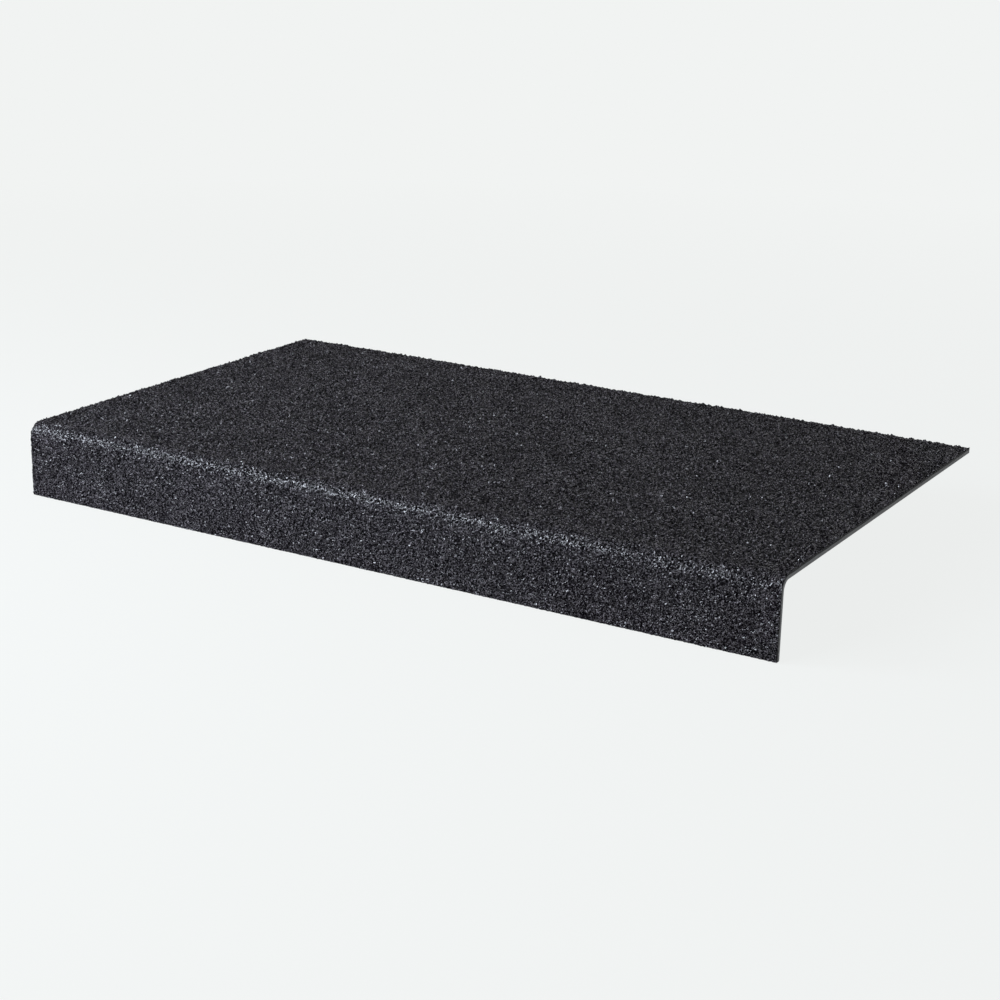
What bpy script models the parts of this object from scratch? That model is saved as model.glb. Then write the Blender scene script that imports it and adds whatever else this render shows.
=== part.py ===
"""Anti-slip stair tread cover: one moulded sheet of glass-fibre plastic, folded down over a step's front edge.

Metres, +Z up. +X runs along the step and +Y into the step, away from the front leg.
The origin lies under the middle of the part, level with the foot of the front leg.
"""

from math import radians

import bmesh
import bpy

# Driving sizes of the moulding
TREAD_LENGTH = 0.600      # along the step, from cut end to cut end
TREAD_DEPTH = 0.345       # from the front of the leg to the back edge of the tread
NOSING_DROP = 0.055       # from the top of the tread to the foot of the leg
SHEET_THICKNESS = 0.0042  # laminate and grit coat together
FOLD_RADIUS = 0.0105      # outer radius of the nose, where the tread turns down into the leg
EDGE_BREAK = 0.0003       # sharpness taken off the sawn edges

# Fineness of the rounded stretches
FOLD_SEGMENTS = 14
EDGE_BREAK_SEGMENTS = 2

# The fold and the sawn edges turn by a right angle, and each facet of the fold by much less
SHARP_CORNER_ANGLE = radians(60)

# Near-black resin with a slight blue cast
GRIT_COLOUR = (0.030, 0.030, 0.034, 1.0)
GRIT_ROUGHNESS = 0.45
GRIT_METALLIC = 0.0

COLLECTION_NAME = "stair_tread_cover"


def clear_scene():
    """Remove every object that the file opened with."""
    for old in list(bpy.data.objects):
        bpy.data.objects.remove(old, do_unlink=True)


def make_collection(name):
    """Return a new collection, linked to the scene, that holds the part."""
    collection = bpy.data.collections.new(name)
    bpy.context.scene.collection.children.link(collection)
    return collection


def gritted_resin():
    """Return the material of the whole moulding: black resin over glass fibre and grit."""
    material = bpy.data.materials.new("black_gritted_resin")
    material.use_nodes = True
    shader = material.node_tree.nodes["Principled BSDF"]
    shader.inputs["Base Color"].default_value = GRIT_COLOUR
    shader.inputs["Roughness"].default_value = GRIT_ROUGHNESS
    shader.inputs["Metallic"].default_value = GRIT_METALLIC
    material.diffuse_color = GRIT_COLOUR
    return material


def outer_skin(name):
    """Return the outer skin as an open surface: the tread's plane, its front edge drawn straight down."""
    skin = bmesh.new()
    bmesh.ops.create_grid(skin, x_segments=1, y_segments=1, size=0.5)
    bmesh.ops.scale(skin, vec=(TREAD_LENGTH, TREAD_DEPTH, 1.0), verts=skin.verts)
    bmesh.ops.translate(skin, vec=(0.0, 0.0, NOSING_DROP), verts=skin.verts)

    front_edge = min(skin.edges, key=lambda edge: edge.verts[0].co.y + edge.verts[1].co.y)
    drawn = bmesh.ops.extrude_edge_only(skin, edges=[front_edge])
    foot = [item for item in drawn["geom"] if isinstance(item, bmesh.types.BMVert)]
    bmesh.ops.translate(skin, vec=(0.0, 0.0, -NOSING_DROP), verts=foot)

    bmesh.ops.recalc_face_normals(skin, faces=skin.faces)
    tread = max(skin.faces, key=lambda face: face.calc_area())
    if tread.normal.z < 0.0:
        bmesh.ops.reverse_faces(skin, faces=skin.faces)

    mesh = bpy.data.meshes.new(name)
    skin.to_mesh(mesh)
    skin.free()
    return mesh


def tread_cover(collection):
    """Add the moulding: the skin is folded at the nose, thickened inwards and its sawn edges are eased."""
    mesh = outer_skin("tread_cover")
    mesh.materials.append(gritted_resin())
    cover = bpy.data.objects.new("tread_cover", mesh)
    collection.objects.link(cover)

    fold = cover.modifiers.new("nose_fold", "BEVEL")
    fold.limit_method = "ANGLE"
    fold.angle_limit = SHARP_CORNER_ANGLE
    fold.width = FOLD_RADIUS
    fold.segments = FOLD_SEGMENTS

    wall = cover.modifiers.new("sheet_wall", "SOLIDIFY")
    wall.thickness = SHEET_THICKNESS
    wall.offset = -1.0
    wall.use_even_offset = True

    easing = cover.modifiers.new("eased_edges", "BEVEL")
    easing.limit_method = "ANGLE"
    easing.angle_limit = SHARP_CORNER_ANGLE
    easing.width = EDGE_BREAK
    easing.segments = EDGE_BREAK_SEGMENTS

    mesh.shade_smooth()
    cover.modifiers.new("flat_faces_shade_flat", "WEIGHTED_NORMAL")
    return cover


def main():
    clear_scene()
    tread_cover(make_collection(COLLECTION_NAME))


main()
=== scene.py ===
"""Looks of an anti-slip stair tread cover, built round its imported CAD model.

Metres, +Z up. +X runs along the step and +Y into it, as in the CAD model. Run it as a script in Blender.
"""

from math import cos, pi, radians, sin

import bpy
import numpy as np
from bpy.props import FloatProperty, FloatVectorProperty, IntProperty, PointerProperty
from mathutils import Matrix, Vector


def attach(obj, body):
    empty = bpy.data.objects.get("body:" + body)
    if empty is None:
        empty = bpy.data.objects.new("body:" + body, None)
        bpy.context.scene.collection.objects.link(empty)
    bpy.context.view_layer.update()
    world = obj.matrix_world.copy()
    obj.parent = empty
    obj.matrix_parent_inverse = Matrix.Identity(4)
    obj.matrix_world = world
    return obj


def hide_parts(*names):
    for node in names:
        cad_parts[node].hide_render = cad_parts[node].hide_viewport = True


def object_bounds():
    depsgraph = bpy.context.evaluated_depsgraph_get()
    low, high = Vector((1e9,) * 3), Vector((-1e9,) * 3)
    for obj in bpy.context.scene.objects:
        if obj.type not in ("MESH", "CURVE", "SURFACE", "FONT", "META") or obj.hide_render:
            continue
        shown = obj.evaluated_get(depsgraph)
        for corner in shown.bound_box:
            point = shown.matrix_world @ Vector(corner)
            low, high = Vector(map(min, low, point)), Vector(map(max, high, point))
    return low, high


bl_info = {
    "name": "Gritted Stair Tread Cover",
    "version": (1, 0, 0),
    "blender": (4, 5, 0),
    "location": "3D View > Sidebar > Tread Cover",
    "description": "Builds the laminate, the grit coat and the studio of a gritted stair tread cover",
    "category": "Add Mesh",
}

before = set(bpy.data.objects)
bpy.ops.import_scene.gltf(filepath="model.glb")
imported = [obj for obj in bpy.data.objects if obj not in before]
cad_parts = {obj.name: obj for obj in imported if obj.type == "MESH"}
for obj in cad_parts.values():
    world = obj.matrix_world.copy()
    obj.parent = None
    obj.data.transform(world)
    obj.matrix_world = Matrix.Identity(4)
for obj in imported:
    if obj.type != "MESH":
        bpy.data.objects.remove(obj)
CAD_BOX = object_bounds()

BODY = "root"
CAD_NODE = "tread_cover"

MM = 0.001
SIDEBAR_TAB = "Tread Cover"

# How one crumb differs from the next. Its place is a share of its cell, its reach a share of half the
# pitch and its height a share of the scatter's height. The lean of its top and the steepness of its
# sides are slopes. The stretch is a factor on the reach of each side.
CRUMB_SIDES = 5
CRUMB_PLACE = (0.05, 0.95)
CRUMB_REACH = (0.62, 1.30)
CRUMB_HEIGHT = (0.45, 1.0)
CRUMB_HEIGHT_POWER = 0.8
CRUMB_LEAN = (-0.45, 0.45)
CRUMB_STEEPNESS = (1.2, 2.6)
CRUMB_STRETCH = (0.75, 1.3)

# Swells of the resin bed, each a height and a pitch, and the drift of the large crumbs' height
BED_SWELLS = ((0.08 * MM, 9.0 * MM), (0.05 * MM, 4.0 * MM))
GROWTH_SHARE = 0.22
GROWTH_PITCH = 7.5 * MM

# First stretch of the tread, over which the relief grows to its full gain
GAIN_RAMP = 14.0 * MM

# The most that a knot of the net moves, as a share of a step
KNOT_SHIFT = 0.36

# Waves of the face between the grit coat and the laminate, each a height, a length scale and a phase
INTERFACE_WAVES = ((0.12 * MM, 9.0 * MM, 0.0), (0.08 * MM, 3.7 * MM, 1.3))

# Relief at which a grain counts as a pit and as a tip in the resin's material. Between them the colour runs
# from the pit colour to the lighter tip colour, so the pits are darker. This is partly thicker resin and
# partly painted shade.
PIT_LIFT = -0.7 * MM
TIP_LIFT = 0.3 * MM

# The point that the softboxes face, their distance from it, and the azimuth and elevation of each in degrees
SOFTBOX_AIM = (0.08, -0.05, 0.03)
SOFTBOX_DISTANCE = 1.45
SOFTBOX_PLACES = {"key": (55, 29), "front": (20, 28), "rake": (90, 10)}


class TreadSheetSettings(bpy.types.PropertyGroup):
    """Sizes of the moulded sheet. Its length, depth and drop come from the CAD model's box."""

    fold_radius: FloatProperty(
        name="Fold Radius", description="Outer radius of the nose",
        default=10.5 * MM, min=5.0 * MM, unit="LENGTH",
    )
    sheet_thickness: FloatProperty(
        name="Sheet Thickness", description="Laminate and grit coat together",
        default=4.2 * MM, min=1.0 * MM, unit="LENGTH",
    )
    grit_depth: FloatProperty(
        name="Grit Depth", description="Depth of the dark grit coat at a sawn edge",
        default=1.5 * MM, min=0.3 * MM, unit="LENGTH",
    )
    edge_easing: FloatProperty(
        name="Edge Easing", description="Radius on the underside's sawn edges",
        default=0.30 * MM, min=0.0, unit="LENGTH",
    )
    underside_colour: FloatVectorProperty(
        name="Underside", description="Pigmented resin of the smooth moulded underside",
        default=(0.030, 0.030, 0.033), size=3, min=0.0, max=1.0, subtype="COLOR",
    )
    sawn_colour: FloatVectorProperty(
        name="Sawn Laminate", description="Resin and glass fibre where the sheet was sawn",
        default=(0.180, 0.176, 0.177), size=3, min=0.0, max=1.0, subtype="COLOR",
    )


class TreadGritSettings(bpy.types.PropertyGroup):
    """Sizes and colours of the grit and of the resin that seals it."""

    bays: IntProperty(
        name="Bays", description="Stretches that the coat is built in, each under 200,000 triangles",
        default=5, min=1,
    )
    columns: IntProperty(
        name="Columns", description="Grid cells along each bay", default=170, min=4,
    )
    rows: IntProperty(
        name="Rows", description="Grid cells from the leg's foot to the back edge", default=560, min=8,
    )
    coarse_pitch: FloatProperty(
        name="Coarse Pitch", description="Mean distance between the large grains",
        default=2.4 * MM, min=1.0 * MM, unit="LENGTH",
    )
    fine_pitch: FloatProperty(
        name="Fine Pitch", description="Mean distance between the small grains",
        default=1.4 * MM, min=0.5 * MM, unit="LENGTH",
    )
    coarse_height: FloatProperty(
        name="Coarse Height", description="Height of the large grains above the resin bed",
        default=0.55 * MM, min=0.0, unit="LENGTH",
    )
    fine_height: FloatProperty(
        name="Fine Height", description="Height of the small grains above the resin bed",
        default=0.30 * MM, min=0.0, unit="LENGTH",
    )
    bed_depth: FloatProperty(
        name="Bed Depth", description="Depth of the resin bed below the nominal outer face",
        default=0.45 * MM, min=0.0, unit="LENGTH",
    )
    speckle: FloatProperty(
        name="Speckle", description="Random roughness of each knot",
        default=0.17 * MM, min=0.0, unit="LENGTH",
    )
    tread_gain: FloatProperty(
        name="Tread Gain", description="Relief on the tread, as a multiple of that on the nose and the leg",
        default=1.7, min=0.0,
    )
    rounded_share: FloatProperty(
        name="Rounded Share", description="Share of the facets that the resin has rounded off",
        default=0.4, min=0.0, max=1.0, subtype="FACTOR",
    )
    seed: IntProperty(name="Seed", description="Start of the random scatter", default=7)
    # Colour in the pits between the grains: black resin, made darker than the tips as painted shade in the
    # hollows.
    resin_and_pit_shade_colour: FloatVectorProperty(
        name="Resin", description="Black sealing resin with a slight blue cast",
        default=(0.0012, 0.0011, 0.0018), size=3, min=0.0, max=1.0, subtype="COLOR",
    )
    # Colour on the grain tips, where the resin is thinnest. Part of the gap to the darker pits is painted
    # shade.
    tip_colour: FloatVectorProperty(
        name="Grain Tips", description="Tips of the grains, where the resin is thinnest",
        default=(0.0202, 0.0174, 0.0214), size=3, min=0.0, max=1.0, subtype="COLOR",
    )


class TreadStageSettings(bpy.types.PropertyGroup):
    """The studio round the part."""

    ground_colour: FloatVectorProperty(
        name="Ground", description="Pale floor and background",
        default=(0.880, 0.896, 0.888), size=3, min=0.0, max=1.0, subtype="COLOR",
    )
    sky_strength: FloatProperty(
        name="Sky Strength", description="Even light from all round", default=0.2, min=0.0,
    )
    key_power: FloatProperty(
        name="Key Power", description="Softbox to the left of the front, in watts", default=25.0, min=0.0,
    )
    front_power: FloatProperty(
        name="Front Power", description="Softbox close to the front, in watts", default=15.0, min=0.0,
    )
    rake_power: FloatProperty(
        name="Rake Power", description="Low softbox off the left end, in watts", default=2.0, min=0.0,
    )
    softbox_size: FloatProperty(
        name="Softbox Size", description="Side of each square softbox",
        default=0.6, min=0.01, unit="LENGTH",
    )
    softbox_colour: FloatVectorProperty(
        name="Softbox Colour", description="Cool white of the softboxes",
        default=(0.83, 0.91, 1.00), size=3, min=0.0, max=1.0, subtype="COLOR",
    )
    camera_azimuth: FloatProperty(
        name="Camera Azimuth", description="Turn of the camera round the part",
        default=radians(30.40), subtype="ANGLE",
    )
    camera_elevation: FloatProperty(
        name="Camera Elevation", description="Height of the camera above the horizon",
        default=radians(17.39), subtype="ANGLE",
    )
    camera_roll: FloatProperty(
        name="Camera Roll", description="Lean of the camera, anticlockwise",
        default=radians(1.35), subtype="ANGLE",
    )
    camera_place: FloatVectorProperty(
        name="Camera Place", description="Where the camera stands",
        default=(0.7411, -1.2594, 0.4628), size=3, subtype="XYZ", unit="LENGTH",
    )
    focal_length: FloatProperty(
        name="Focal Length", description="Lens in millimetres, on a sensor 36 mm wide",
        default=74.15, min=1.0,
    )


def fold_frame(along, sheet):
    """Outer face of the folded sheet, at a distance along its profile from the foot of the leg.

    The profile runs straight up the leg, round a quarter circle at the nose, then straight back over the
    tread. Returns the point's Y and Z, and the outward normal's Y and Z. The normal turns from -Y to +Z.
    """
    low, high = CAD_BOX
    leg = (high.z - low.z) - sheet.fold_radius
    turn = np.clip((along - leg) / sheet.fold_radius, 0.0, pi / 2)
    tread = np.maximum(along - leg - sheet.fold_radius * pi / 2, 0.0)
    normal_y, normal_z = -np.cos(turn), np.sin(turn)
    y = low.y + sheet.fold_radius * (1.0 + normal_y) + tread
    z = low.z + np.minimum(along, leg) + sheet.fold_radius * normal_z
    return y, z, normal_y, normal_z


def fold_length(sheet):
    """Length of the outer profile: the leg, a quarter circle and the tread."""
    low, high = CAD_BOX
    straight = (high.z - low.z) + (high.y - low.y) - 2.0 * sheet.fold_radius
    return straight + sheet.fold_radius * pi / 2


def tread_share(along, sheet):
    """Nought on the leg and the nose, rising to one over the first part of the tread with a smooth step."""
    low, high = CAD_BOX
    nose_end = (high.z - low.z) + sheet.fold_radius * (pi / 2 - 1.0)
    rise = np.clip((along - nose_end) / GAIN_RAMP, 0.0, 1.0)
    return rise * rise * (3.0 - 2.0 * rise)


def on_fold(x, along, proud, sheet):
    """Points at a height above the outer face: the face's point plus the height times its normal."""
    y, z, normal_y, normal_z = fold_frame(along, sheet)
    x, y, z = np.broadcast_arrays(x, y + proud * normal_y, z + proud * normal_z)
    return np.stack([x, y, z], axis=-1)


def interface_depth(along, sheet):
    """Depth at which the grit coat meets the laminate: its mean depth plus slow waves along the profile."""
    return sheet.grit_depth + sum(
        height * np.sin(along / scale + phase) for height, scale, phase in INTERFACE_WAVES
    )


def slow_noise(x, along, pitch, rng):
    """Random values from -1 to 1 on a square net, blended between the net's knots with a smooth step."""
    columns = int(np.ceil(np.ptp(x) / pitch)) + 2
    rows = int(np.ceil(np.ptp(along) / pitch)) + 2
    knots = rng.uniform(-1.0, 1.0, (rows, columns))
    u, v = (x - x.min()) / pitch, (along - along.min()) / pitch
    i, j = v.astype(int), u.astype(int)
    across, up = u - j, v - i
    across, up = across * across * (3 - 2 * across), up * up * (3 - 2 * up)
    lower = knots[i, j] * (1 - across) + knots[i, j + 1] * across
    upper = knots[i + 1, j] * (1 - across) + knots[i + 1, j + 1] * across
    return lower * (1 - up) + upper * up


def crumb_field(x, along, pitch, height, rng):
    """Height of a scatter of crumbs, one in each cell of a square net, moved off its centre.

    A crumb is a blunt pyramid: the lowest of a leaning top plane and of the steep planes of its sides.
    The field is the highest of the crumbs in the point's own cell and in the eight cells round it.
    """
    columns = int(np.ceil(np.ptp(x) / pitch)) + 3
    rows = int(np.ceil(np.ptp(along) / pitch)) + 3
    shape = (rows, columns)
    centre_u = np.arange(columns) + rng.uniform(*CRUMB_PLACE, shape)
    centre_v = np.arange(rows)[:, None] + rng.uniform(*CRUMB_PLACE, shape)
    reach = pitch / 2 * rng.uniform(*CRUMB_REACH, shape)
    top = height * rng.uniform(*CRUMB_HEIGHT, shape) ** CRUMB_HEIGHT_POWER
    lean_u = rng.uniform(*CRUMB_LEAN, shape)
    lean_v = rng.uniform(*CRUMB_LEAN, shape)
    turn = rng.uniform(0.0, 2 * pi, shape)
    steepness = rng.uniform(*CRUMB_STEEPNESS, shape)
    stretch = rng.uniform(*CRUMB_STRETCH, (CRUMB_SIDES, *shape))

    u, v = (x - x.min()) / pitch + 1.0, (along - along.min()) / pitch + 1.0
    cell_u, cell_v = u.astype(int), v.astype(int)
    highest = np.full(u.shape, -1.0)
    for step_v in (-1, 0, 1):
        for step_u in (-1, 0, 1):
            at = (cell_v + step_v, cell_u + step_u)
            off_u, off_v = (u - centre_u[at]) * pitch, (v - centre_v[at]) * pitch
            crumb = top[at] + lean_u[at] * off_u + lean_v[at] * off_v
            for side in range(CRUMB_SIDES):
                angle = turn[at] + side * 2 * pi / CRUMB_SIDES
                inside = reach[at] * stretch[side][at] - off_u * np.cos(angle) - off_v * np.sin(angle)
                crumb = np.minimum(crumb, steepness[at] * inside)
            highest = np.maximum(highest, crumb)
    return highest


def grit_relief(x, along, grit, sheet):
    """Height of the grit above the nominal outer face.

    A resin bed with slow swells carries a scatter of large crumbs and one of small crumbs. The height is the
    bed's, plus the higher crumb where one stands, times the tread gain on the tread, where more grit settles.
    A small random step is added at each knot of the net.
    """
    rng = np.random.default_rng(grit.seed)
    swell = sum(height * slow_noise(x, along, pitch, rng) for height, pitch in BED_SWELLS)
    growth = 1.0 + GROWTH_SHARE * slow_noise(x, along, GROWTH_PITCH, rng)
    coarse = crumb_field(x, along, grit.coarse_pitch, grit.coarse_height, rng)
    fine = crumb_field(x, along, grit.fine_pitch, grit.fine_height, rng)
    speckle = grit.speckle * rng.uniform(-1.0, 1.0, x.shape)
    bed = -grit.bed_depth + swell
    grains = np.maximum(coarse * growth, fine)
    gain = 1.0 + (grit.tread_gain - 1.0) * tread_share(along, sheet)
    return gain * np.maximum(bed + grains, bed) + speckle


def scatter_knots(values, step, still, rng):
    """Move a net's knots at random by a share of a step, all but the still ones."""
    shift = step * rng.uniform(-KNOT_SHIFT, KNOT_SHIFT, values.shape)
    shift[still] = 0.0
    return values + shift


def mesh_from_faces(name, points, faces, sizes):
    """A mesh from points, the corners of its faces one after another, and each face's number of corners."""
    mesh = bpy.data.meshes.new(name)
    mesh.vertices.add(len(points))
    mesh.vertices.foreach_set("co", points.astype(np.float32).ravel())
    mesh.loops.add(len(faces))
    mesh.loops.foreach_set("vertex_index", faces.astype(np.int32))
    mesh.polygons.add(len(sizes))
    starts = np.concatenate([[0], np.cumsum(sizes)[:-1]])
    mesh.polygons.foreach_set("loop_start", starts.astype(np.int32))
    mesh.update(calc_edges=True)
    mesh.validate()
    return mesh


def add_piece(name, mesh, materials):
    """Link a finished mesh as a piece that moves with the part's one body."""
    for material in materials:
        mesh.materials.append(material)
    piece = bpy.data.objects.new(name, mesh)
    bpy.context.scene.collection.objects.link(piece)
    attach(piece, BODY)
    return piece


def group_output(tree, name, kind, source):
    """Give a node group an output and join it to a socket inside the group."""
    tree.interface.new_socket(name, in_out="OUTPUT", socket_type=kind)
    outlet = next((node for node in tree.nodes if node.type == "GROUP_OUTPUT"), None)
    outlet = outlet or tree.nodes.new("NodeGroupOutput")
    tree.links.new(source, outlet.inputs[name])


def group_inputs(tree, *inputs):
    """Give a node group its inputs, each a name, a kind and a default. Returns the node that has them."""
    for name, kind, default in inputs:
        socket = tree.interface.new_socket(name, in_out="INPUT", socket_type=kind)
        if default is not None:
            socket.default_value = default
    return tree.nodes.new("NodeGroupInput")


def math_node(tree, operation, first, second):
    """A Math node whose two inputs are sockets or plain numbers. Returns its output."""
    node = tree.nodes.new("ShaderNodeMath")
    node.operation = operation
    for slot, value in enumerate((first, second)):
        if isinstance(value, bpy.types.NodeSocket):
            tree.links.new(value, node.inputs[slot])
        else:
            node.inputs[slot].default_value = value
    return node.outputs[0]


def vector_node(tree, operation, first, second=None):
    """A Vector Math node whose inputs are sockets, vectors or, for a scale, a number. Returns its output."""
    node = tree.nodes.new("ShaderNodeVectorMath")
    node.operation = operation
    slot = node.inputs["Scale"] if operation == "SCALE" else node.inputs[1]
    for socket, value in ((node.inputs[0], first), (slot, second)):
        if isinstance(value, bpy.types.NodeSocket):
            tree.links.new(value, socket)
        elif value is not None:
            socket.default_value = value
    return node.outputs[0]


def fine_relief_group():
    """Fine roughness of a resin surface: pores and pimples at the given pitch, as a height in metres."""
    pores_per_pimple = 1.7
    name = "Fine Relief"
    if name in bpy.data.node_groups:
        return bpy.data.node_groups[name]
    tree = bpy.data.node_groups.new(name, "ShaderNodeTree")
    inputs = group_inputs(
        tree,
        ("Vector", "NodeSocketVector", None),
        ("Pitch", "NodeSocketFloat", 1.0 * MM),
        ("Height", "NodeSocketFloat", 0.1 * MM),
    )
    scale = math_node(tree, "DIVIDE", 1.0, inputs.outputs["Pitch"])
    cells = tree.nodes.new("ShaderNodeTexVoronoi")
    cells.feature = "SMOOTH_F1"
    cells.inputs["Smoothness"].default_value = 0.35
    noise = tree.nodes.new("ShaderNodeTexNoise")
    noise.inputs["Detail"].default_value = 2.0
    for texture in (cells, noise):
        tree.links.new(inputs.outputs["Vector"], texture.inputs["Vector"])
    tree.links.new(scale, cells.inputs["Scale"])
    tree.links.new(math_node(tree, "MULTIPLY", scale, pores_per_pimple), noise.inputs["Scale"])
    pimples = math_node(tree, "SUBTRACT", 1.0, cells.outputs["Distance"])
    both = math_node(tree, "ADD", pimples, noise.outputs["Fac"])
    height = math_node(tree, "MULTIPLY", both, inputs.outputs["Height"])
    group_output(tree, "Height", "NodeSocketFloat", height)
    return tree


def tone_drift_group():
    """Slow drift of tone over a surface, as a value round one: how unevenly the resin was brushed on."""
    name = "Tone Drift"
    if name in bpy.data.node_groups:
        return bpy.data.node_groups[name]
    tree = bpy.data.node_groups.new(name, "ShaderNodeTree")
    inputs = group_inputs(
        tree,
        ("Vector", "NodeSocketVector", None),
        ("Pitch", "NodeSocketFloat", 40.0 * MM),
        ("Amount", "NodeSocketFloat", 0.2),
    )
    noise = tree.nodes.new("ShaderNodeTexNoise")
    noise.inputs["Detail"].default_value = 3.0
    tree.links.new(inputs.outputs["Vector"], noise.inputs["Vector"])
    tree.links.new(math_node(tree, "DIVIDE", 1.0, inputs.outputs["Pitch"]), noise.inputs["Scale"])
    centred = math_node(tree, "SUBTRACT", noise.outputs["Fac"], 0.5)
    swing = math_node(tree, "MULTIPLY", centred, math_node(tree, "MULTIPLY", inputs.outputs["Amount"], 2.0))
    group_output(tree, "Tone", "NodeSocketFloat", math_node(tree, "ADD", swing, 1.0))
    return tree


def place_group(tree, group, **values):
    """Place a node group in a material, with its inputs set to sockets or plain numbers."""
    node = tree.nodes.new("ShaderNodeGroup")
    node.node_tree = group
    for name, value in values.items():
        if isinstance(value, bpy.types.NodeSocket):
            tree.links.new(value, node.inputs[name])
        else:
            node.inputs[name].default_value = value
    return node


def new_material(name, roughness, specular):
    """A material with a Principled BSDF. Returns it with its tree and its shader."""
    material = bpy.data.materials.new(name)
    material.use_nodes = True
    tree = material.node_tree
    shader = tree.nodes["Principled BSDF"]
    shader.inputs["Roughness"].default_value = roughness
    shader.inputs["Specular IOR Level"].default_value = specular
    return material, tree, shader


def mix_colours(tree, factor, first, second):
    """A blend of two colours by a factor. Returns its output."""
    node = tree.nodes.new("ShaderNodeMix")
    node.data_type = "RGBA"
    tree.links.new(factor, node.inputs["Factor"])
    for socket, value in ((node.inputs["A"], first), (node.inputs["B"], second)):
        if isinstance(value, bpy.types.NodeSocket):
            tree.links.new(value, socket)
        else:
            socket.default_value = (*value, 1.0)
    return node.outputs["Result"]


def times_tone(tree, colour, tone):
    """A colour made lighter or darker by a tone round one. Returns its output."""
    return vector_node(tree, "SCALE", colour, tone)


def bump(tree, shader, height):
    """Turn a height in metres into the shader's normal."""
    node = tree.nodes.new("ShaderNodeBump")
    node.inputs["Strength"].default_value = 1.0
    node.inputs["Distance"].default_value = 1.0
    tree.links.new(height, node.inputs["Height"])
    tree.links.new(node.outputs["Normal"], shader.inputs["Normal"])


def map_range(tree, value, low, high, to_low, to_high):
    """A value carried from one range to another and held inside it. Returns its output."""
    node = tree.nodes.new("ShaderNodeMapRange")
    tree.links.new(value, node.inputs["Value"])
    for name, number in (("From Min", low), ("From Max", high), ("To Min", to_low), ("To Max", to_high)):
        node.inputs[name].default_value = number
    return node.outputs["Result"]


def resin_facets_group():
    """Small flat facets at random leans, each with a value of its own from nought to one.

    The space is split into irregular cells at the given pitch. A cell's random colour, centred on nought and
    times twice the lean, is added to the surface normal, and the sum is brought back to length one.
    """
    name = "Resin Facets"
    if name in bpy.data.node_groups:
        return bpy.data.node_groups[name]
    tree = bpy.data.node_groups.new(name, "ShaderNodeTree")
    inputs = group_inputs(
        tree,
        ("Vector", "NodeSocketVector", None),
        ("Normal", "NodeSocketVector", None),
        ("Pitch", "NodeSocketFloat", 1.0 * MM),
        ("Lean", "NodeSocketFloat", 0.3),
    )
    cells = tree.nodes.new("ShaderNodeTexVoronoi")
    tree.links.new(inputs.outputs["Vector"], cells.inputs["Vector"])
    tree.links.new(math_node(tree, "DIVIDE", 1.0, inputs.outputs["Pitch"]), cells.inputs["Scale"])
    own = tree.nodes.new("ShaderNodeTexWhiteNoise")
    tree.links.new(cells.outputs["Color"], own.inputs["Vector"])
    centred = vector_node(tree, "SUBTRACT", cells.outputs["Color"], (0.5, 0.5, 0.5))
    lean = vector_node(tree, "SCALE", centred, math_node(tree, "MULTIPLY", inputs.outputs["Lean"], 2.0))
    leaning = vector_node(tree, "ADD", lean, inputs.outputs["Normal"])
    group_output(tree, "Normal", "NodeSocketVector", vector_node(tree, "NORMALIZE", leaning))
    group_output(tree, "Value", "NodeSocketFloat", own.outputs["Value"])
    return tree


def grit_material(grit):
    """Black resin over grit: facets of many tones, some of them glossy, and more so on the grains' tips. The
    colour is painted darker in the pits than on the tips, as shade.

    A facet's value, from nought to one, sets its tone: darkest * (lightest / darkest) ** value. It is glossy
    where the value is high.
    """
    facet_pitch, facet_lean = 0.60 * MM, 0.6
    darkest, lightest = 0.10, 5.2
    last_matt, first_glossy, gloss_in_pits = 0.52, 0.86, 0.3
    material, tree, shader = new_material("sealed_grit", roughness=0.3, specular=0.0)
    place = tree.nodes.new("ShaderNodeTexCoord").outputs["Object"]
    surface = tree.nodes.new("ShaderNodeNewGeometry").outputs["Normal"]
    lift = tree.nodes.new("ShaderNodeAttribute")
    lift.attribute_name = "grain_lift"
    facets = place_group(
        tree, resin_facets_group(), Vector=place, Normal=surface, Pitch=facet_pitch, Lean=facet_lean,
    )
    # Painted shade: the base colour runs from the dark pit colour to the tip colour as the relief rises.
    tips = map_range(tree, lift.outputs["Fac"], PIT_LIFT, TIP_LIFT, 0.0, 1.0)
    colour = mix_colours(tree, tips, grit.resin_and_pit_shade_colour, grit.tip_colour)
    drift = place_group(tree, tone_drift_group(), Vector=place, Pitch=60.0 * MM, Amount=0.15)
    colour = times_tone(tree, colour, drift.outputs["Tone"])
    spread = math_node(tree, "POWER", lightest / darkest, facets.outputs["Value"])
    colour = times_tone(tree, colour, math_node(tree, "MULTIPLY", spread, darkest))
    tree.links.new(colour, shader.inputs["Base Color"])
    wet = map_range(tree, facets.outputs["Value"], last_matt, first_glossy, 0.0, 1.0)
    raised = map_range(tree, lift.outputs["Fac"], PIT_LIFT, TIP_LIFT, gloss_in_pits, 1.0)
    tree.links.new(math_node(tree, "MULTIPLY", wet, raised), shader.inputs["Coat Weight"])
    shader.inputs["Coat Roughness"].default_value = 0.25
    shader.inputs["Coat IOR"].default_value = 1.75
    tree.links.new(facets.outputs["Normal"], shader.inputs["Normal"])
    return material


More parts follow.
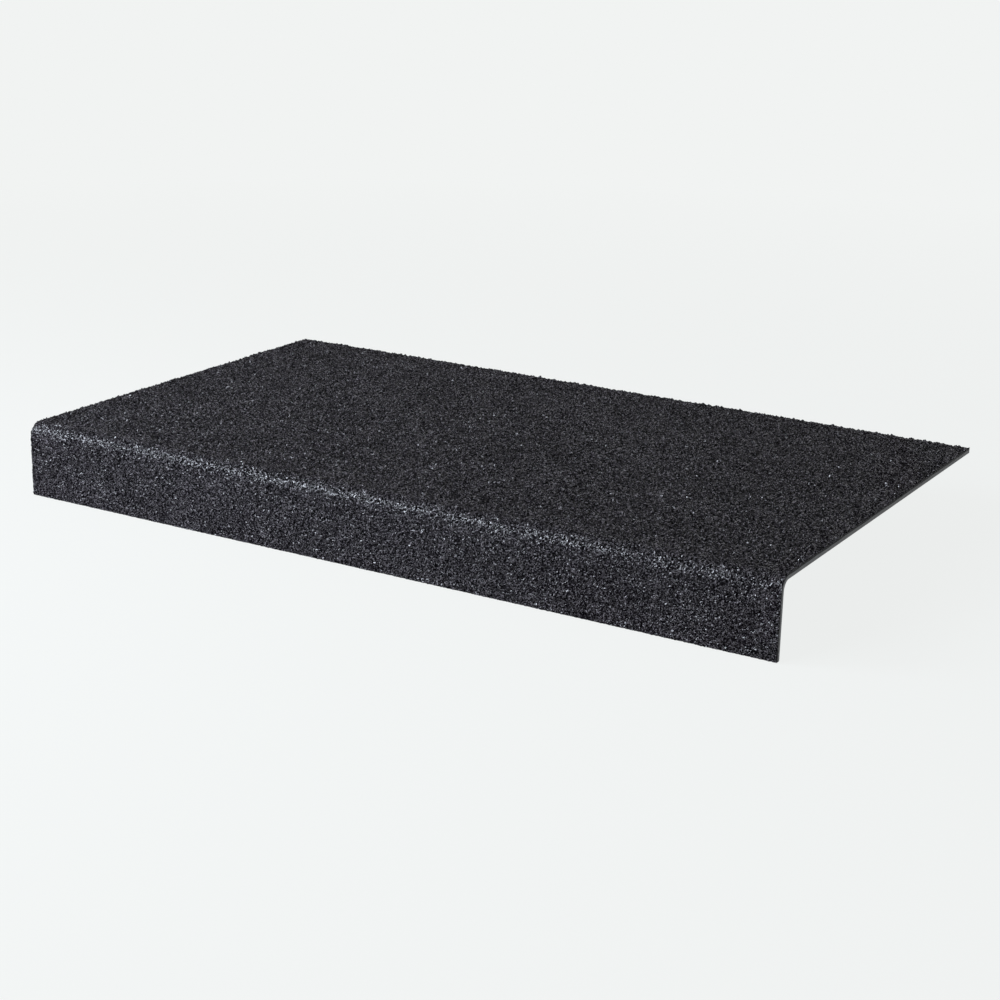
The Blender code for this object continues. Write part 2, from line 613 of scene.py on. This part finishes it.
def sawn_grit_material(grit):
    """The coat where it was sawn through: dark resin with lighter specks of cut grit."""
    resin, cut_grain = (0.008, 0.008, 0.009), (0.040, 0.039, 0.041)
    grain_pitch, grain_core, grain_rim = 1.1 * MM, 0.18, 0.34
    material, tree, shader = new_material("sawn_grit", roughness=0.6, specular=0.1)
    place = tree.nodes.new("ShaderNodeTexCoord").outputs["Object"]
    specks = tree.nodes.new("ShaderNodeTexVoronoi")
    specks.inputs["Scale"].default_value = 1.0 / grain_pitch
    tree.links.new(place, specks.inputs["Vector"])
    cut = map_range(tree, specks.outputs["Distance"], grain_core, grain_rim, 1.0, 0.0)
    colour = mix_colours(tree, cut, resin, cut_grain)
    tree.links.new(colour, shader.inputs["Base Color"])
    relief = place_group(tree, fine_relief_group(), Vector=place, Pitch=0.5 * MM, Height=0.05 * MM)
    bump(tree, shader, relief.outputs["Height"])
    return material


def grit_coat_mesh(name, points, relief, floor, rounded):
    """A closed stretch of the coat: the relief on top, sawn walls all round and a floor on the laminate.

    Knots are numbered row by row, a row along the step and the rows from the leg's foot to the back edge.
    The floor has a knot under each knot of the relief's border, and a long face between each two rows.
    A facet of the relief is shaded smooth where rounded is true, and flat elsewhere.
    """
    rows, columns = relief.shape
    top = np.arange(rows * columns).reshape(rows, columns)
    border_points, floor_ids = [], {}
    start = rows * columns
    for side, edge in (("left", floor[:, 0]), ("right", floor[:, -1])):
        floor_ids[side] = start + np.arange(rows)
        border_points.append(edge)
        start += rows
    for side, edge in (("foot", floor[0, 1:-1]), ("back", floor[-1, 1:-1])):
        inner = start + np.arange(columns - 2)
        end = 0 if side == "foot" else -1
        floor_ids[side] = np.concatenate([[floor_ids["left"][end]], inner, [floor_ids["right"][end]]])
        border_points.append(edge)
        start += columns - 2

    def wall(above, below):
        return np.stack([above[:-1], above[1:], below[1:], below[:-1]], axis=-1)

    skin = np.stack([top[:-1, :-1], top[:-1, 1:], top[1:, 1:], top[1:, :-1]], axis=-1).reshape(-1, 4)
    left, right = floor_ids["left"], floor_ids["right"]
    walls = [
        wall(top[:, 0], left),
        wall(top[::-1, -1], right[::-1]),
        wall(top[0, ::-1], floor_ids["foot"][::-1]),
        wall(top[-1, :], floor_ids["back"]),
    ]
    strips = np.stack([left[1:-2], left[2:-1], right[2:-1], right[1:-2]], axis=-1)
    foot_face = np.concatenate([floor_ids["foot"][::-1], left[1:2], right[1:2]])
    back_face = np.concatenate([floor_ids["back"], right[-2:-1], left[-2:-1]])

    quads = np.concatenate([skin, *walls, strips])
    corners = np.concatenate([quads.ravel(), foot_face, back_face])
    sizes = np.concatenate([np.full(len(quads), 4), [len(foot_face), len(back_face)]])
    mesh = mesh_from_faces(name, np.concatenate([points.reshape(-1, 3), *border_points]), corners, sizes)

    is_skin = np.arange(len(sizes)) < len(skin)
    smooth = np.zeros(len(sizes), bool)
    smooth[: len(skin)] = rounded.ravel()
    mesh.polygons.foreach_set("use_smooth", smooth)
    mesh.polygons.foreach_set("material_index", np.where(is_skin, 0, 1).astype(np.int32))
    lift = np.zeros(len(mesh.vertices), np.float32)
    lift[: relief.size] = relief.ravel()
    mesh.attributes.new("grain_lift", "FLOAT", "POINT").data.foreach_set("value", lift)
    return mesh


class TREAD_OT_grit_coat(bpy.types.Operator):
    """Scatter the grit over the folded sheet and seal it with resin, in bays along the step"""

    bl_idname = "tread.grit_coat"
    bl_label = "Cast Grit Coat"

    def execute(self, context):
        sheet, grit = context.scene.tread_sheet, context.scene.tread_grit
        low, high = CAD_BOX
        cells_x = grit.bays * grit.columns
        step_x, step_s = (high.x - low.x) / cells_x, fold_length(sheet) / grit.rows
        x = low.x + step_x * np.arange(-1, cells_x + 2)
        along = step_s * np.arange(-1, grit.rows + 2)
        x, along = np.meshgrid(x, along)
        rng = np.random.default_rng(grit.seed + 1)
        bay_ends = 1 + grit.columns * np.arange(grit.bays + 1)
        x = scatter_knots(x, step_x, np.s_[:, bay_ends], rng)
        along = scatter_knots(along, step_s, [0, 1, -2, -1], rng)
        relief = grit_relief(x, along, grit, sheet)
        x, along, relief = (field[1:-1, 1:-1] for field in (x, along, relief))
        skin = on_fold(x, along, relief, sheet)
        floor = on_fold(x, along, -interface_depth(along, sheet), sheet)
        rounded = rng.random((grit.rows, cells_x)) < grit.rounded_share

        materials = [grit_material(grit), sawn_grit_material(grit)]
        for bay in range(grit.bays):
            span = slice(bay * grit.columns, (bay + 1) * grit.columns + 1)
            name = f"grit_coat_{bay + 1}"
            fields = [field[:, span] for field in (skin, relief, floor)]
            facets = rounded[:, bay * grit.columns : (bay + 1) * grit.columns]
            add_piece(name, grit_coat_mesh(name, *fields, facets), materials)
        return {"FINISHED"}


def sawn_laminate_material(sheet):
    """Sawn glass-fibre laminate: grey resin with darker and lighter layers that run along the sheet."""
    layer_length, layer_height, layer_relief = 9.0 * MM, 0.35 * MM, 0.05 * MM
    last_dark, first_light = 0.3, 0.7
    dark_share, light_share = 0.62, 1.30
    material, tree, shader = new_material("sawn_laminate", roughness=0.6, specular=0.3)
    place = tree.nodes.new("ShaderNodeUVMap").outputs["UV"]
    stretch = tree.nodes.new("ShaderNodeMapping")
    stretch.inputs["Scale"].default_value = (1.0 / layer_length, 1.0 / layer_height, 1.0)
    tree.links.new(place, stretch.inputs["Vector"])
    layers = tree.nodes.new("ShaderNodeTexNoise")
    layers.inputs["Scale"].default_value = 1.0
    layers.inputs["Detail"].default_value = 4.0
    tree.links.new(stretch.outputs["Vector"], layers.inputs["Vector"])
    tone = map_range(tree, layers.outputs["Fac"], last_dark, first_light, 0.0, 1.0)
    dark = tuple(dark_share * part for part in sheet.sawn_colour)
    light = tuple(light_share * part for part in sheet.sawn_colour)
    colour = mix_colours(tree, tone, dark, light)
    drift = place_group(tree, tone_drift_group(), Vector=place, Pitch=14.0 * MM, Amount=0.25)
    tree.links.new(times_tone(tree, colour, drift.outputs["Tone"]), shader.inputs["Base Color"])
    bump(tree, shader, math_node(tree, "MULTIPLY", layers.outputs["Fac"], layer_relief))
    return material


def moulded_back_material(sheet):
    """The underside: smooth pigmented resin from the mould, with the glass mat showing through faintly."""
    strand_pitch, strand_width, strand_tone = 14.0 * MM, 0.08, 1.3
    warp_pitch, warp_share = 22.0 * MM, 0.012
    material, tree, shader = new_material("moulded_back", roughness=0.42, specular=0.35)
    place = tree.nodes.new("ShaderNodeTexCoord").outputs["Object"]
    strands = tree.nodes.new("ShaderNodeTexVoronoi")
    strands.feature = "DISTANCE_TO_EDGE"
    strands.inputs["Scale"].default_value = 1.0 / strand_pitch
    warp = tree.nodes.new("ShaderNodeTexNoise")
    warp.inputs["Scale"].default_value = 1.0 / warp_pitch
    tree.links.new(place, warp.inputs["Vector"])
    shifted = tree.nodes.new("ShaderNodeMix")
    shifted.data_type = "VECTOR"
    shifted.inputs["Factor"].default_value = warp_share
    tree.links.new(place, shifted.inputs["A"])
    tree.links.new(warp.outputs["Color"], shifted.inputs["B"])
    tree.links.new(shifted.outputs["Result"], strands.inputs["Vector"])
    mat = map_range(tree, strands.outputs["Distance"], 0.0, strand_width, 1.0, 0.0)
    light = tuple(strand_tone * part for part in sheet.underside_colour)
    colour = mix_colours(tree, mat, sheet.underside_colour, light)
    drift = place_group(tree, tone_drift_group(), Vector=place, Pitch=70.0 * MM, Amount=0.3)
    tree.links.new(times_tone(tree, colour, drift.outputs["Tone"]), shader.inputs["Base Color"])
    relief = place_group(tree, fine_relief_group(), Vector=place, Pitch=5.0 * MM, Height=0.03 * MM)
    bump(tree, shader, relief.outputs["Height"])
    return material


def laminate_mesh(sheet):
    """The laminate under the grit: a flat section as long as the part, eased below, carried along the fold.

    The section is a closed loop of points, each a place along the step and a depth below the outer face. It
    runs over the top from left to right, down the right end, round a quarter circle, back along the underside
    and round another quarter circle to the left end.
    """
    leg_knots, nose_knots, tread_knots, easing_knots = 24, 20, 170, 4
    low, high = CAD_BOX
    length = fold_length(sheet)
    leg = (high.z - low.z) - sheet.fold_radius
    nose = leg + sheet.fold_radius * pi / 2
    stations = np.concatenate([
        np.linspace(0.0, leg, leg_knots, endpoint=False),
        np.linspace(leg, nose, nose_knots, endpoint=False),
        np.linspace(nose, length, tread_knots),
    ])
    easing = np.linspace(0.0, pi / 2, easing_knots)
    inward = sheet.edge_easing * (1.0 - np.cos(easing))
    downward = sheet.edge_easing * np.sin(easing)
    under = sheet.sheet_thickness
    shoulder = under - sheet.edge_easing
    loop_x = np.concatenate([[low.x, high.x], high.x - inward, low.x + inward[::-1]])
    depth = np.concatenate([[0.0, 0.0], shoulder + downward, shoulder + downward[::-1]])
    on_top = np.arange(len(loop_x)) < 2

    rows, knots = len(stations), len(loop_x)
    along = np.repeat(stations[:, None], knots, axis=1)
    depths = np.where(on_top, interface_depth(along, sheet), depth)
    points = on_fold(np.broadcast_to(loop_x, along.shape), along, -depths, sheet)

    ids = np.arange(rows * knots).reshape(rows, knots)
    ahead = np.roll(ids, -1, axis=1)
    skin = np.stack([ids[:-1], ahead[:-1], ahead[1:], ids[1:]], axis=-1).reshape(-1, 4)
    corners = np.concatenate([skin.ravel(), ids[0, ::-1], ids[-1]])
    sizes = np.concatenate([np.full(len(skin), 4), [knots, knots]])
    mesh = mesh_from_faces("laminate", points.reshape(-1, 3), corners, sizes)

    face_of_loop = np.tile(np.arange(knots), rows - 1)
    underside = face_of_loop == knots // 2
    materials = np.concatenate([np.where(underside, 1, 0), [0, 0]])
    mesh.polygons.foreach_set("material_index", materials.astype(np.int32))

    uv = mesh.uv_layers.new(name="sheet")
    flat = np.stack([along, depths], axis=-1).reshape(-1, 2)
    laid = flat[corners]
    caps = slice(len(skin) * 4, None)
    laid[caps, 0] = points.reshape(-1, 3)[corners[caps], 0]
    uv.data.foreach_set("uv", laid.astype(np.float32).ravel())
    return mesh


class TREAD_OT_laminate(bpy.types.Operator):
    """Lay up the glass-fibre laminate that the grit is bonded to"""

    bl_idname = "tread.laminate"
    bl_label = "Lay Up Laminate"

    def execute(self, context):
        sharp_from = radians(35)
        sheet = context.scene.tread_sheet
        materials = [sawn_laminate_material(sheet), moulded_back_material(sheet)]
        laminate = add_piece("laminate", laminate_mesh(sheet), materials)
        laminate.data.shade_smooth()
        laminate.data.set_sharp_from_angle(angle=sharp_from)
        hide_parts(CAD_NODE)
        return {"FINISHED"}


def any_of(tree, *flags):
    """One where any of the Light Path's flags is one, and nought elsewhere. Returns its output."""
    path = tree.nodes.new("ShaderNodeLightPath")
    total = path.outputs[flags[0]]
    for flag in flags[1:]:
        total = math_node(tree, "MAXIMUM", total, path.outputs[flag])
    return total


def ground_material(stage):
    """Pale floor: seen directly it is nearly its own colour, and near the part it keeps some shadow."""
    near, far, plain_share_near = 0.4, 1.6, 0.94
    material = bpy.data.materials.new("pale_floor")
    material.use_nodes = True
    tree = material.node_tree
    tree.nodes.clear()
    outlet = tree.nodes.new("ShaderNodeOutputMaterial")
    matt = tree.nodes.new("ShaderNodeBsdfDiffuse")
    matt.inputs["Color"].default_value = (*stage.ground_colour, 1.0)
    plain = tree.nodes.new("ShaderNodeEmission")
    plain.inputs["Color"].default_value = (*stage.ground_colour, 1.0)
    clear = tree.nodes.new("ShaderNodeBsdfTransparent")
    seen = any_of(tree, "Is Camera Ray", "Is Glossy Ray", "Is Transmission Ray")
    front = tree.nodes.new("ShaderNodeMixShader")
    place = tree.nodes.new("ShaderNodeTexCoord").outputs["Object"]
    reach = tree.nodes.new("ShaderNodeVectorMath")
    reach.operation = "LENGTH"
    tree.links.new(place, reach.inputs[0])
    share = map_range(tree, reach.outputs["Value"], near, far, plain_share_near, 1.0)
    tree.links.new(math_node(tree, "MULTIPLY", seen, share), front.inputs["Fac"])
    tree.links.new(matt.outputs[0], front.inputs[1])
    tree.links.new(plain.outputs[0], front.inputs[2])
    from_below = tree.nodes.new("ShaderNodeNewGeometry").outputs["Backfacing"]
    both = tree.nodes.new("ShaderNodeMixShader")
    tree.links.new(from_below, both.inputs["Fac"])
    tree.links.new(front.outputs[0], both.inputs[1])
    tree.links.new(clear.outputs[0], both.inputs[2])
    tree.links.new(both.outputs[0], outlet.inputs["Surface"])
    return material


def make_floor(stage):
    """A wide plane just under the foot of the leg."""
    low, _ = CAD_BOX
    half, drop, knots = 40.0, 0.6 * MM, 5
    u, v = np.meshgrid(np.linspace(-half, half, knots), np.linspace(-half, half, knots))
    points = np.stack([u, v, np.full(u.shape, low.z - drop)], axis=-1)
    ids = np.arange(u.size).reshape(u.shape)
    quads = np.stack([ids[:-1, :-1], ids[:-1, 1:], ids[1:, 1:], ids[1:, :-1]], axis=-1).reshape(-1, 4)
    mesh = mesh_from_faces("floor", points.reshape(-1, 3), quads.ravel(), np.full(len(quads), 4))
    mesh.materials.append(ground_material(stage))
    floor = bpy.data.objects.new("floor", mesh)
    bpy.context.scene.collection.objects.link(floor)


def softbox(name, power, stage):
    """A square area light that faces the part. Its azimuth runs from the front round to the left end."""
    azimuth, elevation = (radians(angle) for angle in SOFTBOX_PLACES[name])
    aim = Vector(SOFTBOX_AIM)
    flat = cos(elevation)
    way = Vector((-sin(azimuth) * flat, -cos(azimuth) * flat, sin(elevation)))
    place = aim + SOFTBOX_DISTANCE * way
    light = bpy.data.lights.new(name, "AREA")
    light.size = stage.softbox_size
    light.energy = power
    light.color = stage.softbox_colour
    lamp = bpy.data.objects.new(name, light)
    lamp.location = place
    lamp.rotation_euler = (aim - place).to_track_quat("-Z", "Y").to_euler()
    bpy.context.scene.collection.objects.link(lamp)


def make_world(stage):
    """Even pale light: seen directly or in a reflection it is the ground's colour."""
    world = bpy.data.worlds.new("studio")
    world.use_nodes = True
    bpy.context.scene.world = world
    tree = world.node_tree
    sky = tree.nodes["Background"]
    sky.inputs["Color"].default_value = (*stage.ground_colour, 1.0)
    seen = any_of(tree, "Is Camera Ray", "Is Glossy Ray", "Is Transmission Ray")
    tree.links.new(map_range(tree, seen, 0.0, 1.0, stage.sky_strength, 1.0), sky.inputs["Strength"])


def make_camera(stage):
    """The photograph's camera, from its azimuth, elevation and roll. It looks against the third column."""
    azimuth, elevation, roll = stage.camera_azimuth, stage.camera_elevation, stage.camera_roll
    back = Vector((sin(azimuth) * cos(elevation), -cos(azimuth) * cos(elevation), sin(elevation)))
    level = Vector((cos(azimuth), sin(azimuth), 0.0))
    upright = back.cross(level)
    right = level * cos(roll) + upright * sin(roll)
    up = upright * cos(roll) - level * sin(roll)
    turn = Matrix((right, up, back)).transposed().to_4x4()
    data = bpy.data.cameras.new("photo_camera")
    data.sensor_width = 36.0
    data.lens = stage.focal_length
    data.clip_end = 200.0
    camera = bpy.data.objects.new("photo_camera", data)
    camera.matrix_world = Matrix.Translation(stage.camera_place) @ turn
    bpy.context.scene.collection.objects.link(camera)
    bpy.context.scene.camera = camera


class TREAD_OT_stage(bpy.types.Operator):
    """Set the pale floor, the soft studio light and the camera"""

    bl_idname = "tread.stage"
    bl_label = "Set Stage"

    def execute(self, context):
        stage = context.scene.tread_stage
        context.scene.view_settings.view_transform = "Standard"
        make_world(stage)
        make_floor(stage)
        make_camera(stage)
        softbox("key", stage.key_power, stage)
        softbox("front", stage.front_power, stage)
        softbox("rake", stage.rake_power, stage)
        return {"FINISHED"}


class VIEW3D_PT_tread_cover(bpy.types.Panel):
    """Lists the operators with their settings"""

    bl_label = "Stair Tread Cover"
    bl_idname = "VIEW3D_PT_tread_cover"
    bl_space_type = "VIEW_3D"
    bl_region_type = "UI"
    bl_category = SIDEBAR_TAB

    def draw(self, context):
        scene = context.scene
        for settings, operator in (
            (scene.tread_sheet, TREAD_OT_laminate.bl_idname),
            (scene.tread_grit, TREAD_OT_grit_coat.bl_idname),
            (scene.tread_stage, TREAD_OT_stage.bl_idname),
        ):
            box = self.layout.box()
            for name in settings.__annotations__:
                box.prop(settings, name)
            box.operator(operator)


CLASSES = (
    TreadSheetSettings,
    TreadGritSettings,
    TreadStageSettings,
    TREAD_OT_laminate,
    TREAD_OT_grit_coat,
    TREAD_OT_stage,
    VIEW3D_PT_tread_cover,
)


def register():
    for item in CLASSES:
        bpy.utils.register_class(item)
    bpy.types.Scene.tread_sheet = PointerProperty(type=TreadSheetSettings)
    bpy.types.Scene.tread_grit = PointerProperty(type=TreadGritSettings)
    bpy.types.Scene.tread_stage = PointerProperty(type=TreadStageSettings)


def unregister():
    del bpy.types.Scene.tread_stage
    del bpy.types.Scene.tread_grit
    del bpy.types.Scene.tread_sheet
    for item in reversed(CLASSES):
        bpy.utils.unregister_class(item)


def main():
    register()
    bpy.ops.tread.laminate()
    bpy.ops.tread.grit_coat()
    bpy.ops.tread.stage()


if __name__ == "__main__":
    main()
